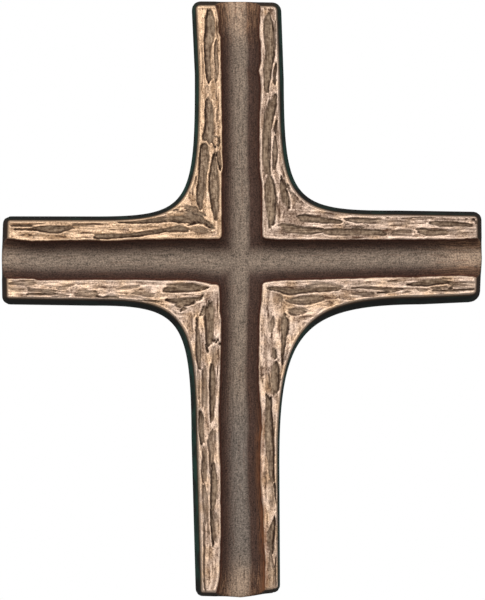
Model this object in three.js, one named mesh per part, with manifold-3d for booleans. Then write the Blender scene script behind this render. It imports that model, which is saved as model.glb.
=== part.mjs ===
// A cast bronze cross for a wall or a gravestone: four flaring arms, a round channel along and across
// the front, and four corner panels beside it, gouged like bark.
// Millimetres. The cross stands upright: X points right and Z up, the front faces -Y and the flat back
// lies on y = 0. The origin is on the back, behind the middle of the crossing.
import * as THREE from "three";
import { mergeVertices } from "three/addons/utils/BufferGeometryUtils.js";
import Module from "manifold-3d";

// Depths, measured from the flat back towards the front
const THICKNESS = 12;
const WALL_TOP = 10.9; // where the sloping side wall ends and the soft rim begins
const BACK_EDGE = 0.5; // height of the small chamfer round the back
const CHANNEL_STEP = 1.1; // straight drop beside the panels
const CHANNEL_DEPTH = 4.7;

// The body's levels from the back to the front: the depth, and the share of the inset used up there
const BODY_LEVELS = [
  { depth: 0, share: 0.15 },
  { depth: BACK_EDGE, share: 0 },
  { depth: 0.9 * WALL_TOP, share: 0.8 },
  { depth: WALL_TOP, share: 0.92 },
  { depth: THICKNESS, share: 1.2 },
];

// How far the channel reaches at each end, from the middle of the crossing
const TOP = 86.3;
const BOTTOM = 113.6;
const LEFT = 80.5;
const RIGHT = 80.7;
const CROSSING = 7; // up to here on each side, one channel crosses the other

// The four corner panels, each seen as if in the upper right corner. a runs along the crossbar and b
// along the upright, both from the middle of the crossing.
// waist: half-width of an arm where its sweep begins, and tip: half-width at its end.
// sweep: how far out along an arm the curve between the arms begins, and hold: its fullness.
// channel: half-width of the channel beside this panel, near the crossing and at the end.
// end: reach of the panel's outer corner, and round: radius of that corner on the back outline.
// inset: how far the front rim lies inside the back outline, on the wall and on the end.
// gouges: the large tool marks, each as a, b where it starts, a, b where it ends, and its width.
const PANELS = [
  {
    signX: -1,
    signZ: 1,
    upright: {
      waist: 15.4,
      tip: 16.4,
      sweep: 62,
      channel: [6.7, 6.5],
      end: 86.5,
      round: 3.0,
      inset: [1.8, 2.0],
    },
    crossbar: {
      waist: 14.5,
      tip: 14.7,
      sweep: 48,
      channel: [6.4, 6.3],
      end: 80.0,
      round: 2.6,
      inset: [1.8, 2.3],
    },
    hold: 0.93,
    gouges: [
      [10.8, 82, 10.8, 71, 2.2],
      [10.8, 69.5, 10.8, 59, 2.2],
      [10, 53, 11.1, 42, 2.3],
      [12.4, 36.5, 12.5, 17, 2.4],
      [8.7, 34.5, 8.8, 14.5, 2.2],
      [16.6, 17.2, 12.8, 11.5, 3],
      [77.5, 10.4, 58, 10.3, 2.3],
      [48.7, 8.2, 36, 9.5, 2],
      [35.5, 9.6, 24, 10.8, 2],
    ],
  },
  {
    signX: 1,
    signZ: 1,
    upright: {
      waist: 14.5,
      tip: 13.7,
      sweep: 60,
      channel: [6.6, 6.1],
      end: 86.0,
      round: 3.0,
      inset: [1.8, 2.0],
    },
    crossbar: {
      waist: 16.0,
      tip: 15.4,
      sweep: 52,
      channel: [6.5, 6.3],
      end: 80.6,
      round: 2.8,
      inset: [1.95, 2.0],
    },
    hold: 0.93,
    gouges: [
      [9.4, 83, 9.3, 69.5, 2.7],
      [9.3, 68.5, 9.2, 56, 2.7],
      [10.1, 55, 10, 48, 2.3],
      [8.7, 47, 8.6, 36.5, 2],
      [9.6, 27, 9.5, 12, 2.7],
      [14.6, 27.3, 14.6, 17, 2.3],
      [19, 13.2, 30, 13.2, 2.3],
      [14, 9.8, 30, 9.5, 2.3],
      [35, 12.8, 46, 12.8, 1.9],
      [61, 9, 74, 9, 1.9],
    ],
  },
  {
    signX: -1,
    signZ: -1,
    upright: {
      waist: 17.1,
      tip: 15.9,
      sweep: 60,
      channel: [7.3, 7.8],
      end: 113.1,
      round: 2.4,
      inset: [2.3, 1.9],
    },
    crossbar: {
      waist: 15.5,
      tip: 14.9,
      sweep: 50,
      channel: [7.0, 6.8],
      end: 80.4,
      round: 2.8,
      inset: [2.5, 2.3],
    },
    hold: 0.9,
    gouges: [
      [26.5, 9.6, 12, 9.9, 2.8],
      [25.8, 14, 15.5, 14.2, 2.4],
      [14.1, 19, 14.1, 35.5, 2.2],
      [10.8, 16, 11.1, 31, 2.7],
      [9.7, 35.5, 9.8, 51, 1.9],
      [12.5, 38, 12.5, 50, 2],
      [9.9, 69, 9.9, 83, 2],
      [71.6, 10.2, 62, 10.6, 1.8],
      [52, 10.9, 41, 11, 1.8],
      [37, 10.3, 28.5, 10.6, 2],
    ],
  },
  {
    signX: 1,
    signZ: -1,
    upright: {
      waist: 12.4,
      tip: 12.4,
      sweep: 70,
      channel: [6.4, 7.2],
      end: 112.0,
      round: 2.4,
      inset: [0.9, 1.9],
    },
    crossbar: {
      waist: 15.6,
      tip: 14.8,
      sweep: 60,
      channel: [6.9, 6.3],
      end: 80.0,
      round: 3.7,
      inset: [3.0, 2.0],
    },
    hold: 0.84,
    gouges: [
      [10.5, 10.2, 29.5, 10.5, 2.3],
      [16.5, 13, 29, 12.6, 2],
      [13.2, 19, 12.9, 35, 2.4],
      [9.9, 19, 9.9, 24, 2],
      [10.6, 34.5, 10.2, 45, 1.9],
      [8.9, 46, 8.8, 64, 2.2],
      [8.9, 65.5, 9, 84, 2.2],
      [26.5, 9, 44, 9.2, 2.4],
      [59, 8.6, 71, 8.6, 1.7],
    ],
  },
];

// A nail hole in the back of the upper arm
const HOLE_HEIGHT = 62;
const HOLE_RADIUS = 2.4;
const HOLE_DEPTH = 5;

// Fineness of curves
const SWEEP_STEPS = 22;
const CORNER_STEPS = 5;
const CHANNEL_STEPS = 12;
const GOUGE_SIDES = 9;
const GOUGE_BANDS = 7;
const HOLE_SIDES = 16;

// Gouges are shallow: their depth is a share of their width
const GOUGE_SHARE = 0.42;
const CUT_CLEARANCE = 2; // how far a cutter stands out of the surface it cuts
const WELD_DISTANCE = 0.0001; // points of a sphere or cylinder this close become one

const BRONZE = { color: 0x8f7359, roughness: 0.5, metalness: 1 };

const wasm = await Module();
wasm.setup();

// A closed solid from rings of equally many points. capTriangles gives the triangles that close a ring.
function solidFromRings(rings, capTriangles) {
  const count = rings[0].length;
  const triangles = [];
  for (let r = 0; r + 1 < rings.length; r += 1) {
    for (let i = 0; i < count; i += 1) {
      const next = (i + 1) % count;
      const low = r * count;
      const high = low + count;
      triangles.push(low + i, low + next, high + next, low + i, high + next, high + i);
    }
  }
  const last = (rings.length - 1) * count;
  for (const [p, q, r] of capTriangles(rings[0])) {
    triangles.push(p, r, q);
  }
  for (const [p, q, r] of capTriangles(rings.at(-1))) {
    triangles.push(last + p, last + q, last + r);
  }
  const vertices = new Float32Array(rings.flat().flatMap((point) => [point.x, point.y, point.z]));
  return outwardSolid(vertices, new Uint32Array(triangles));
}

// A solid whose faces all look outwards, whichever way they came.
function outwardSolid(vertProperties, triVerts) {
  const made = new wasm.Manifold(new wasm.Mesh({ numProp: 3, vertProperties, triVerts }));
  if (made.volume() > 0) {
    return made;
  }
  for (let i = 0; i < triVerts.length; i += 3) {
    [triVerts[i + 1], triVerts[i + 2]] = [triVerts[i + 2], triVerts[i + 1]];
  }
  return new wasm.Manifold(new wasm.Mesh({ numProp: 3, vertProperties, triVerts }));
}

// A solid from a closed three.js shape.
function solidFromGeometry(geometry) {
  geometry.deleteAttribute("normal");
  geometry.deleteAttribute("uv");
  const merged = mergeVertices(geometry, WELD_DISTANCE);
  return outwardSolid(merged.attributes.position.array, new Uint32Array(merged.index.array));
}

// The outline of one panel on the back, from the end of the upright to the end of the crossbar. Each
// point also holds the insets that apply there: x along a and y along b.
function panelOutline(panel) {
  const { upright, crossbar } = panel;
  const points = [];
  const add = (a, b, insetA, insetB) => {
    points.push({ at: new THREE.Vector2(a, b), inset: new THREE.Vector2(insetA, insetB) });
  };
  const corner = (centreA, centreB, radius, from, insetA, insetB) => {
    for (let i = 0; i <= CORNER_STEPS; i += 1) {
      const angle = from - (i / CORNER_STEPS) * (Math.PI / 2);
      add(centreA + radius * Math.cos(angle), centreB + radius * Math.sin(angle), insetA, insetB);
    }
  };
  const [uprightWall, uprightEnd] = upright.inset;
  const [crossbarWall, crossbarEnd] = crossbar.inset;

  corner(
    upright.tip - upright.round,
    upright.end - upright.round,
    upright.round,
    Math.PI / 2,
    uprightWall,
    uprightEnd,
  );
  add((upright.tip + upright.waist) / 2, (upright.end + upright.sweep) / 2, uprightWall, crossbarWall);
  const sweep = new THREE.CubicBezierCurve(
    new THREE.Vector2(upright.waist, upright.sweep),
    new THREE.Vector2(upright.waist, THREE.MathUtils.lerp(upright.sweep, crossbar.waist, panel.hold)),
    new THREE.Vector2(THREE.MathUtils.lerp(crossbar.sweep, upright.waist, panel.hold), crossbar.waist),
    new THREE.Vector2(crossbar.sweep, crossbar.waist),
  );
  for (const point of sweep.getSpacedPoints(SWEEP_STEPS)) {
    add(point.x, point.y, uprightWall, crossbarWall);
  }
  add((crossbar.end + crossbar.sweep) / 2, (crossbar.tip + crossbar.waist) / 2, uprightWall, crossbarWall);
  corner(
    crossbar.end - crossbar.round,
    crossbar.tip - crossbar.round,
    crossbar.round,
    Math.PI / 2,
    crossbarEnd,
    crossbarWall,
  );
  return points;
}

// The whole outline, counter-clockwise as seen from the front, with the middle of each end added.
function wholeOutline() {
  const [upperLeft, upperRight, lowerLeft, lowerRight] = PANELS;
  const placed = (panel) =>
    panelOutline(panel).map(({ at, inset }) => ({
      at: new THREE.Vector2(at.x * panel.signX, at.y * panel.signZ),
      inset,
    }));
  const end = (x, z, panel, arm) => ({
    at: new THREE.Vector2(x, z),
    inset: new THREE.Vector2(panel[arm].inset[1], panel[arm].inset[1]),
  });
  return [
    end(0, TOP, upperLeft, "upright"),
    ...placed(upperLeft),
    end(-LEFT, 0, upperLeft, "crossbar"),
    ...placed(lowerLeft).reverse(),
    end(0, -BOTTOM, lowerLeft, "upright"),
    ...placed(lowerRight),
    end(RIGHT, 0, lowerRight, "crossbar"),
    ...placed(upperRight).reverse(),
  ];
}

// One ring of the body: the outline moved in by a share of its insets, at one depth.
function bodyRing(outline, share, depth) {
  const count = outline.length;
  return outline.map(({ at, inset }, i) => {
    const before = outline[(i + count - 1) % count].at;
    const after = outline[(i + 1) % count].at;
    const along = after.clone().sub(before).normalize();
    return new THREE.Vector3(at.x - along.y * inset.x * share, -depth, at.y + along.x * inset.y * share);
  });
}

// The body before anything is cut from it.
function makeBody() {
  const outline = wholeOutline();
  const rings = BODY_LEVELS.map(({ depth, share }) => bodyRing(outline, share, depth));
  const cap = (ring) =>
    THREE.ShapeUtils.triangulateShape(
      ring.map((point) => new THREE.Vector2(point.x, point.z)),
      [],
    );
  return solidFromRings(rings, cap);
}

// Half-width of the channel at a signed distance along one arm pair.
function channelHalfWidth(along, near, far, reach) {
  return THREE.MathUtils.lerp(near, far, Math.min(Math.abs(along) / reach, 1));
}

// The cutter of one channel: a steep step beside the panels, then a round floor.
function channelCutter(stations, place) {
  const rings = stations.map(({ along, low, high }) => {
    const middle = (low + high) / 2;
    const half = (high - low) / 2;
    const ring = [place(along, low, THICKNESS + CUT_CLEARANCE)];
    for (let i = 0; i <= CHANNEL_STEPS; i += 1) {
      const angle = (i / CHANNEL_STEPS) * Math.PI;
      const depth = CHANNEL_STEP + (CHANNEL_DEPTH - CHANNEL_STEP) * Math.sin(angle);
      ring.push(place(along, middle - half * Math.cos(angle), THICKNESS - depth));
    }
    ring.push(place(along, high, THICKNESS + CUT_CLEARANCE));
    return ring;
  });
  const cap = (ring) => ring.slice(2).map((point, i) => [0, i + 1, i + 2]);
  return solidFromRings(rings, cap);
}

// The edges of the channel at both ends of an arm pair and on each side of the crossing.
function channelStations(arm, negative, positive, reachNegative, reachPositive) {
  const at = (along, low, high, reach) => ({
    along,
    low: -channelHalfWidth(along, ...low[arm].channel, reach),
    high: channelHalfWidth(along, ...high[arm].channel, reach),
  });
  return [
    at(-reachNegative - CUT_CLEARANCE, ...negative, reachNegative),
    at(-CROSSING, ...negative, reachNegative),
    at(CROSSING, ...positive, reachPositive),
    at(reachPositive + CUT_CLEARANCE, ...positive, reachPositive),
  ];
}

// The cutters of both channels together.
function makeChannels() {
  const [upperLeft, upperRight, lowerLeft, lowerRight] = PANELS;
  const upright = channelCutter(
    channelStations("upright", [lowerLeft, lowerRight], [upperLeft, upperRight], BOTTOM, TOP),
    (along, across, depth) => new THREE.Vector3(across, -depth, along),
  );
  const crossbar = channelCutter(
    channelStations("crossbar", [lowerLeft, upperLeft], [lowerRight, upperRight], LEFT, RIGHT),
    (along, across, depth) => new THREE.Vector3(along, -depth, across),
  );
  return upright.add(crossbar);
}

// A long shallow tool mark: an ellipsoid centred on the front surface.
function makeGouge([startA, startB, endA, endB, width], panel) {
  const start = new THREE.Vector3(startA * panel.signX, -THICKNESS, startB * panel.signZ);
  const end = new THREE.Vector3(endA * panel.signX, -THICKNESS, endB * panel.signZ);
  const along = end.clone().sub(start);
  const geometry = new THREE.SphereGeometry(1, GOUGE_SIDES, GOUGE_BANDS);
  geometry.scale(width / 2, (along.length() + width) / 2, width * GOUGE_SHARE);
  const turn = new THREE.Quaternion().setFromUnitVectors(
    new THREE.Vector3(0, 1, 0),
    along.clone().normalize(),
  );
  geometry.applyQuaternion(turn);
  const middle = start.clone().add(end).multiplyScalar(0.5);
  geometry.translate(middle.x, middle.y, middle.z);
  return solidFromGeometry(geometry);
}

// The cutter of the blind hole in the back.
function makeNailHole() {
  const geometry = new THREE.CylinderGeometry(
    HOLE_RADIUS,
    HOLE_RADIUS,
    HOLE_DEPTH + CUT_CLEARANCE,
    HOLE_SIDES,
  );
  geometry.translate(0, (CUT_CLEARANCE - HOLE_DEPTH) / 2, HOLE_HEIGHT);
  return solidFromGeometry(geometry);
}

function makeCross() {
  let solid = makeBody().subtract(makeChannels());
  for (const panel of PANELS) {
    for (const gouge of panel.gouges) {
      solid = solid.subtract(makeGouge(gouge, panel));
    }
  }
  solid = solid.subtract(makeNailHole());

  const { vertProperties, triVerts } = solid.getMesh();
  const geometry = new THREE.BufferGeometry();
  geometry.setAttribute("position", new THREE.BufferAttribute(vertProperties, 3));
  geometry.setIndex(new THREE.BufferAttribute(triVerts, 1));
  geometry.computeVertexNormals();
  const cross = new THREE.Mesh(geometry, new THREE.MeshStandardMaterial(BRONZE));
  cross.name = "cross";
  return cross;
}

const group = new THREE.Group();
group.add(makeCross());

export default group;
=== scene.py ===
"""A cast bronze cross: a round channel along and across its front, and gouged panels beside it."""

import math
from typing import NamedTuple

import bmesh
import bpy
import numpy as np
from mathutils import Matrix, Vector
from mathutils.geometry import tessellate_polygon


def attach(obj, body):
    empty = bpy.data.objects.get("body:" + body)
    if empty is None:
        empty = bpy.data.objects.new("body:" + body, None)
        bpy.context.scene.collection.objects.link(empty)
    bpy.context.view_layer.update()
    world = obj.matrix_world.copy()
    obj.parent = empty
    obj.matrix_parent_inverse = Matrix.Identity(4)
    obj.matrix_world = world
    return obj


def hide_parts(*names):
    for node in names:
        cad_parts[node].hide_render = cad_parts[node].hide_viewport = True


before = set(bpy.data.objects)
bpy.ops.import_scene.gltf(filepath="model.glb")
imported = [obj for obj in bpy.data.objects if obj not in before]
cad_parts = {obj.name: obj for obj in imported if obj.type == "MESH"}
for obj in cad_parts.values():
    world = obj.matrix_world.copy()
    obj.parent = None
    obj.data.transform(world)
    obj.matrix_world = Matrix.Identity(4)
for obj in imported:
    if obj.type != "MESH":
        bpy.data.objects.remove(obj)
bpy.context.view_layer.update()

# Lengths are in millimetres and become metres when the mesh is made.
METRES = 0.001
THICKNESS = 12.0
RIM_DEPTH = 10.9  # above the back
LEVEL = 0.34  # how far the panels' usual surface lies under the highest ridges
BACK_EDGE = 0.5
WALL_DEPTHS = (0, BACK_EDGE, 0.9 * RIM_DEPTH, RIM_DEPTH, THICKNESS)
WALL_SHARES = (0.15, 0, 0.8, 0.92, 1.2)  # of the inset that the side wall has used up at those depths
RIM_SHARE = WALL_SHARES[3]
RIM_ROUNDING = 1.0
REACH_UP = 86.3
REACH_DOWN = 113.6
REACH_LEFT = 80.5
REACH_RIGHT = 80.7

# The channel
CHANNEL_DEPTH = 4.7
CHANNEL_SQUARENESS = 2.4
CHANNEL_STEEPNESS = 0.6
CHANNEL_LIP = 0.35
LIP_WIDTH = 0.45
END_STEEPNESS = 0.75  # how much steeper the wall stands under the channel's end than beside it
CORNER_ROUNDING = 1.2
END_DIP = 0.3  # how much deeper the channel gets at its very end
END_DIP_LENGTH = 0.6
END_BULGE_LENGTH = 14.0  # within this of the end, the channel's rows bulge outwards
END_SLANT_LENGTH = 3.0
# How much paler each arm's channel is at its end, and over what length
PALE_UP = (1, 18)
PALE_DOWN = (0.7, 14)
PALE_LEFT = (0.2, 10)
PALE_RIGHT = (0.7, 24)

# The panels' relief
FULL_MARK = 0.62  # a tool mark this deep has its whole dark finish
MARK_LEAN = 0.35  # how much deeper a mark is on its steep side
CREST = 0.2  # height of the ridges beside marks and edges
CREASE = 0.2  # depth of the furrow along the rim
# Ribs along an arm: height, length, width and a number for their noise
RIBS = ((0.12, 6, 0.8, 31), (0.11, 2.5, 0.5, 32))
PIT_DEPTH = 0.2
PIT_SIZE = 0.7
SWELL = 0.1
SWELL_SIZE = 8

# The back and the nail hole in its upper arm
BACK_LIE = 0.5  # its colour lies between those of the upright's and the crossbar's side walls
BACK_BROWN = 0.8  # how near it comes to the brown of the end walls
HOLE_HEIGHT = 62.0
HOLE_RADIUS = 2.4
HOLE_DEPTH = 5.0
HOLE_SIDES = 32

# Fineness of the mesh and of the noise
ROW_STEP = 0.47
PANEL_LINES = 41
INNER_LINES = (0, 0.012, 0.026, 0.044, 0.066)
OUTER_LINES = (0.93, 0.954, 0.973, 0.988, 1)
CHANNEL_LINES = (0, 0.15, 0.29, 0.42, 0.54, 0.65, 0.75, 0.83, 0.89, 0.935, 0.965, 0.985, 1)
ACROSS_LINES = np.concatenate((-np.array(CHANNEL_LINES[:0:-1]), CHANNEL_LINES))
WALL_LEVELS = (0.97, 0.89, 0.74, 0.55, 0.3, 0.045, 0)
OUTLINE_STEPS = 500
NOISE_VALUES = 4096
HASH_X = 73856093
HASH_Y = 19349663

# How the rows of a panel run and how the channels meet
LEAN_LENGTH = 45.0  # within this of the crossing, the rows lean towards the diagonal
CROSSING_POWER = 6  # how sharply one channel turns into the other

# The camera and the studio, in metres, with the sensor in millimetres and the roll in degrees
SENSOR = 36.0
CAMERA_DISTANCE = 2.5
VIEW_HEIGHT = 0.2009
VIEW_X = 0.00027
VIEW_Z = -0.0138
VIEW_ROLL = 0.28
ROOM_LIGHT = 0.19
FLOOR_HEIGHT = -0.3
FLOOR_RADIUS = 1.1
FLOOR_SIDES = 96
FLOOR_GLOW = 0.3
# Each light's place, size and power in watts. The last one stands behind the cross.
LIGHTS = {
    "key": ((-0.7, -1.3, 1.0), 0.8, 16),
    "front": ((0.2, -2.1, 0.3), 1.6, 16),
    "fill": ((1.1, -1.2, 0.2), 0.9, 4),
    "back": ((0, 3.0, 0), 0.4, 90),
}


class Arm(NamedTuple):
    """One arm beside a panel: half-widths at the waist and tip, where the sweep begins, how far the arm
    reaches, its corner's radius and how far the rim lies inside the back's edge, beside and ahead."""

    waist: float
    tip: float
    sweep: float
    end: float
    round: float
    inset: tuple


class Panel(NamedTuple):
    """One of the four panels, seen as if it were the upper right one: a runs along the crossbar and b along
    the upright.

    hold is the fullness of the sweep. An edge is its points from the crossing out, as distances along the
    arm and across the channel. A tool mark is its depth, which is below 0 for a rib that stands proud, and
    then a, b and width at each of its points. dark_side is the side of the upright's and the crossbar's
    marks that is steepest, from -1 for left or below to 1 for right or above. worn is how pale the plain
    places of both arms are, and warm how yellow."""

    name: str
    sign_x: int
    sign_z: int
    upright: Arm
    crossbar: Arm
    hold: float
    seed: int
    # dark_side also sets the side where the foot of a mark's wall is painted darker, as shade.
    dark_side: tuple
    worn: tuple
    warm: float
    upright_edge: tuple
    crossbar_edge: tuple
    upright_marks: tuple
    crossbar_marks: tuple


UPPER_LEFT_UPRIGHT = (
    (0.75, 10.4, 83.3, 1.6, 10.2, 80, 3, 10.1, 76.5, 3.4, 10.7, 73, 3, 11, 70, 2.2, 11.1, 66, 2,
     10.8, 62.3, 1.9, 10.3, 59, 1),
    (0.5, 8.2, 73, 0.8, 8.2, 69.5, 1.3, 8, 65, 1.3, 8.1, 61, 1.4, 8.2, 59, 0.8),
    (0.2, 9.5, 66, 1, 9.3, 62, 1.6, 9, 60, 1),
    (0.2, 11.2, 57.3, 1.6, 10.9, 54, 2.2),
    (0.65, 11.1, 53, 1.4, 10.7, 50, 2.8, 10.5, 46, 2.9, 10.6, 43, 3.4, 10.9, 40.8, 3.9),
    (0.35, 7.9, 50, 0.5, 7.8, 46.3, 0.6),
    (0.5, 8.6, 40.9, 0.5, 7.3, 40.2, 0.8, 7.2, 38.4, 0.8, 8, 37.3, 0.6),
    (0.55, 10, 39.4, 0.5, 8.9, 37.9, 0.6, 8.3, 37, 0.5),
    (0.75, 12.3, 37.3, 2.6, 12.3, 34.5, 3.4, 12.6, 31, 3, 12.9, 27, 2.7, 13.4, 23, 2.8, 13.9, 20, 2.2,
     13.7, 17.6, 1.4),
    (0.75, 8.9, 35.4, 0.6, 9.1, 32, 2, 9.1, 28, 3.2, 9, 24, 3.6, 9, 20, 3, 8.8, 16.6, 2.2, 8.5, 13.8, 1.2),
    (0.35, 7.5, 36.2, 0.9, 7, 33, 1.3, 6.7, 31, 0.8),
    (0.6, 8.3, 34.6, 0.4, 7.5, 31.6, 0.6, 6.8, 30, 0.4),
)
UPPER_LEFT_CROSSBAR = (
    (0.65, 23.4, 13.4, 1.8, 20, 13.2, 2.6, 17, 14, 4.2, 14.2, 13.8, 3.2, 12.2, 12.4, 1.8, 10.2, 10.2, 1.2),
    (0.6, 41, 12.6, 0.9, 36, 12.4, 1.2, 31, 12.7, 1.4, 27, 13.1, 2, 24, 13.3, 1.6),
    (0.9, 17.5, 11.4, 0.5, 15.5, 12, 0.6, 13.2, 12, 0.6, 11.6, 10.9, 0.6, 10.2, 9.8, 0.5),
    (0.35, 16.3, 9.6, 1, 14, 9.6, 1.8, 11.8, 9.3, 1.6),
    (-0.3, 17, 10.4, 0.6, 15, 11.3, 0.8, 13, 11, 0.7, 11.6, 9.9, 0.5),
    (0.6, 26.5, 9.4, 0.9, 23.5, 9.8, 1.8, 20.5, 10.2, 2.4, 18.2, 9.8, 1.8),
    (0.65, 48.5, 7.7, 1.6, 44, 7.6, 1.8, 40, 7.8, 1.5, 36, 8.1, 1.4, 32, 8.6, 1.6, 28, 9.3, 1.4,
     25, 9.6, 1.2),
    (0.5, 77.6, 11.4, 0.7, 70, 11.4, 0.8),
    (0.5, 75, 10.2, 0.6, 70, 10.1, 0.8),
    (0.6, 69.5, 10.4, 1.2, 65, 10.1, 2.4, 60, 10.1, 2.5, 57, 10.6, 1.4),
    (0.3, 56.5, 11.7, 0.6, 53, 11.5, 1, 49, 11.4, 1.2),
    (0.5, 24, 16.2, 0.6, 21, 16.4, 0.6),
    (0.5, 18.2, 17.2, 1.4, 16, 16.2, 2.4, 13.5, 14.8, 2),
)
UPPER_LEFT = Panel(
    name="upper_left",
    sign_x=-1,
    sign_z=1,
    upright=Arm(waist=15.4, tip=16.4, sweep=62, end=86.5, round=3.0, inset=(1.8, 2.0)),
    crossbar=Arm(waist=14.5, tip=14.7, sweep=48, end=80.0, round=2.6, inset=(1.8, 2.3)),
    hold=0.93,
    seed=11,
    dark_side=(-1, -1),
    worn=(0.68, 0.7),
    warm=1,
    upright_edge=(
        (6.7, 6.7), (28, 6.5), (30, 6.2), (37, 6.3), (60, 6.5), (74, 6.6), (75.5, 7.3), (80, 7.4),
        (83, 7.8), (86, 9),
    ),
    crossbar_edge=(
        (6.7, 6.7), (20, 6.8), (34, 6.6), (40, 6.4), (46, 6.2), (49, 6.4), (55, 6.5), (70, 6.3), (74, 6.7),
        (79, 7.4),
    ),
    upright_marks=UPPER_LEFT_UPRIGHT,
    crossbar_marks=UPPER_LEFT_CROSSBAR,
)
UPPER_RIGHT_UPRIGHT = (
    (0.4, 8.3, 84.2, 0.8, 8.3, 83.4, 0.8),
    (0.7, 9.3, 81.6, 1.2, 9.3, 79, 2.8, 9.5, 76, 3.4, 9.7, 72.5, 3.2, 9.9, 69, 3, 9.6, 66, 3, 9.1, 63.4, 3,
     8.9, 60.5, 2.4, 8.7, 57.8, 1.7, 8.9, 56, 0.9),
    (0.4, 11.7, 79, 0.5, 11.6, 74, 0.6, 11.6, 70.3, 0.5),
    (0.55, 11.9, 65.2, 0.6, 11.5, 62, 1, 11.3, 58, 0.8),
    (0.7, 11.7, 54.3, 0.8, 10.8, 52.3, 2.6, 10, 49.4, 3, 9.2, 46.4, 2.9, 8.6, 43, 2.5, 8.4, 39, 2.3,
     8.3, 35, 2.3, 8.6, 31.5, 2.4, 8.9, 29.2, 2),
    (0.5, 9.9, 46, 0.5, 9.8, 40, 0.6, 9.6, 33, 0.5),
    (0.6, 11.9, 46.6, 0.7, 11.4, 43.4, 1, 11.3, 42.2, 0.6),
    (0.5, 11.5, 40.4, 0.6, 11.5, 37, 1.6, 11.4, 33, 1.6, 11, 29.6, 0.9),
    (0.7, 9.6, 27.4, 1.6, 9.5, 24.5, 3.4, 9.9, 20, 3.9, 10, 16, 3.2, 10.1, 13, 2.4, 9.9, 11.3, 1.6),
    (0.75, 13.3, 26.8, 0.5, 13.9, 24, 2, 14.8, 20.3, 2.5, 15.5, 17.2, 1.6),
    (0.35, 17.2, 21, 0.8, 17.9, 19.3, 1.5),
    (0.5, 13.2, 27.6, 0.4, 15.2, 24.4, 0.7, 16.8, 22, 0.5),
)
UPPER_RIGHT_CROSSBAR = (
    (0.75, 13.2, 11.2, 1.2, 15, 10.3, 2.6, 18, 9.6, 2.6, 22, 9.2, 2.4, 25, 9.2, 2, 27.5, 9.3, 1.4),
    (0.65, 18.8, 14.3, 0.8, 21, 13.5, 2.4, 24, 13.1, 2.2, 28, 12.6, 1.8, 32.5, 12.2, 1.4),
    (0.6, 28.5, 8.9, 1.6, 31, 8.8, 2.2, 34, 8.6, 2.2, 38, 8.8, 2.2, 42, 8.6, 1.9, 47, 8.4, 1.9),
    (0.5, 35, 13, 0.8, 38, 12.6, 1.6, 42, 12.4, 1.8, 46.5, 12.3, 1.6),
    (0.35, 34.3, 10.3, 0.5, 35.3, 11.2, 0.5, 36.3, 11, 0.4),
    (0.4, 37.6, 10, 0.6, 39, 10.4, 0.7, 40.5, 10, 0.5),
    (0.35, 40.5, 11.6, 0.4, 42.3, 10.6, 0.5),
    (0.45, 50.2, 8.2, 1.4, 53, 8.5, 2.2, 56.5, 8.4, 2),
    (0.22, 47.5, 12, 1.6, 50, 11.7, 2, 55, 11.6, 1.6),
    (0.35, 48.4, 13.5, 0.7, 48.8, 13.3, 0.7),
    (0.35, 53.5, 13.2, 0.4, 57, 13.4, 0.5, 61.5, 13.4, 0.7, 64, 13.2, 0.5),
    (0.65, 59.8, 9.2, 1.6, 62, 8.6, 2.4, 65, 8.4, 2, 68.5, 8.5, 1.8),
    (0.6, 63, 11.6, 0.8, 66, 11.3, 1.8, 69, 11.2, 1.8, 72, 11.2, 1.4, 76.5, 10.7, 0.9),
    (0.3, 69, 8.6, 1.4, 72.5, 8.4, 1.8),
    (0.2, 74, 9, 2, 78.3, 8.9, 1.4),
    (0.4, 66.8, 14, 0.5, 67.4, 13.2, 0.5),
    (0.35, 72.2, 13.4, 0.6, 72.5, 12.6, 0.5),
    (0.4, 74.5, 13.8, 0.6, 75.6, 12.6, 0.6),
    (0.6, 77, 13.2, 0.6, 78.4, 11.6, 0.8, 79.3, 10.8, 0.5),
)
UPPER_RIGHT = Panel(
    name="upper_right",
    sign_x=1,
    sign_z=1,
    upright=Arm(waist=14.5, tip=13.7, sweep=60, end=86.0, round=3.0, inset=(1.8, 2.0)),
    crossbar=Arm(waist=16.0, tip=15.4, sweep=52, end=80.6, round=2.8, inset=(1.95, 2.0)),
    hold=0.93,
    seed=23,
    dark_side=(0.5, 0),
    worn=(0.38, 0.46),
    warm=0.1,
    upright_edge=(
        (6.8, 7.1), (24, 7.1), (27, 6.6), (30, 6.3), (46, 6.3), (52, 6.6), (57, 6.9), (60.5, 6.7),
        (62.7, 6.1), (64, 6.5), (66, 6.9), (72, 6.9), (73.6, 6.4), (77, 6.4), (80, 6.7), (86, 6.8),
    ),
    crossbar_edge=(
        (7.1, 6.8), (11, 6.5), (20, 6.3), (50, 6.2), (72, 6.2), (79, 6.6),
    ),
    upright_marks=UPPER_RIGHT_UPRIGHT,
    crossbar_marks=UPPER_RIGHT_CROSSBAR,
)
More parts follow.
